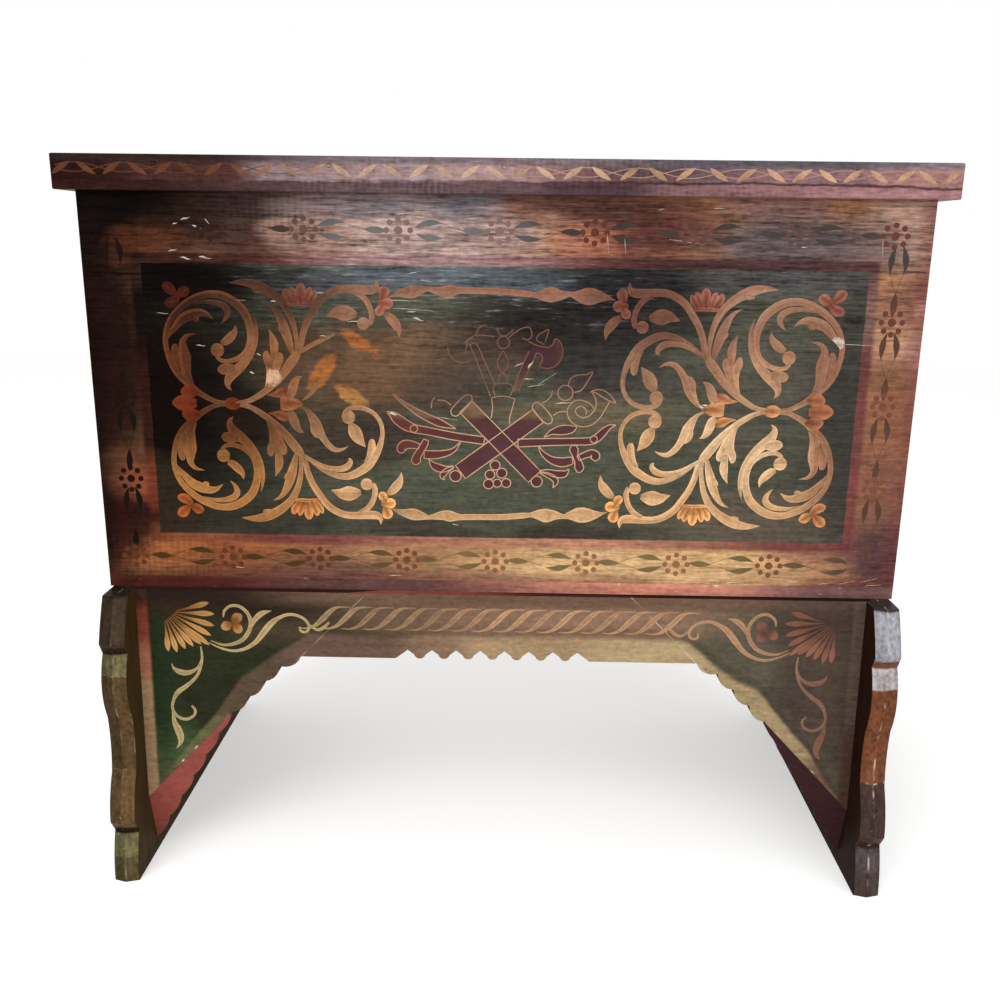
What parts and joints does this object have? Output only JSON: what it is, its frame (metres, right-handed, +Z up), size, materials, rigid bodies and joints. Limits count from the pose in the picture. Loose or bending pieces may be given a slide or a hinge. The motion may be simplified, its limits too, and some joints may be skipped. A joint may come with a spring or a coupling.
{
  "type": "dowry chest",
  "caption": "Painted boarded dowry chest with a hinged edged lid, raised on scroll-cut leg boards with a mitred scalloped apron.",
  "frame": {"origin": "on the floor, at the middle of the footprint of the whole chest", "axes": "+X to the viewer's right along the front, +Y to the back, +Z up"},
  "size_m": [1.1, 0.5652, 0.9603],
  "materials": {
    "painted_front": "painted and varnished, dark green field in ochre and red frames",
    "painted_ends": "painted red-brown and varnished",
    "painted_lid": "painted red-brown and varnished, worn edges",
    "red_edge": "painted red and varnished, chipped",
    "painted_apron": "painted dark green with ochre margins, varnished",
    "painted_legs": "painted brown, worn along the ridge",
    "bare_wood": "bare aged softwood",
    "iron": "dark wrought iron"
  },
  "bodies": {
    "chest": {"front_upper_plank": "painted_front", "front_lower_plank": "painted_front", "back_upper_plank": "bare_wood", "back_lower_plank": "bare_wood", "left_end_upper_plank": "painted_ends", "left_end_lower_plank": "painted_ends", "right_end_upper_plank": "painted_ends", "right_end_lower_plank": "painted_ends", "bottom_front_plank": "red_edge", "bottom_back_plank": "red_edge", "corner_pegs": "painted_front", "bottom_nails": "iron", "left_hinge_case_leaf": "iron", "right_hinge_case_leaf": "iron", "left_hinge_pin": "iron", "right_hinge_pin": "iron", "case_hinge_nails": "iron", "left_leg_board": "painted_legs", "right_leg_board": "painted_legs", "apron_rail": "painted_apron", "apron_left_bracket": "painted_apron", "apron_right_bracket": "painted_apron", "left_mitre_block": "bare_wood", "right_mitre_block": "bare_wood", "back_rail": "bare_wood", "left_cleat": "bare_wood", "right_cleat": "bare_wood", "cleat_nails": "iron", "hold_down_nails": "iron"},
    "lid": {"lid_front_plank": "painted_lid", "lid_back_plank": "painted_lid", "lid_front_edging": "painted_lid", "lid_left_edging": "painted_lid", "lid_right_edging": "painted_lid", "lid_left_batten": "bare_wood", "lid_right_batten": "bare_wood", "batten_nails": "iron", "edging_sprigs": "painted_lid", "left_hinge_lid_leaf": "iron", "right_hinge_lid_leaf": "iron", "lid_hinge_nails": "iron"}
  },
  "joints": [
    {"name": "lid_hinge", "type": "hinge", "parent": "chest", "child": "lid", "pos_m": [0, 0.27815, 0.93815], "axis": [-1, 0, 0], "range_deg": [0, 100]}
  ]
}
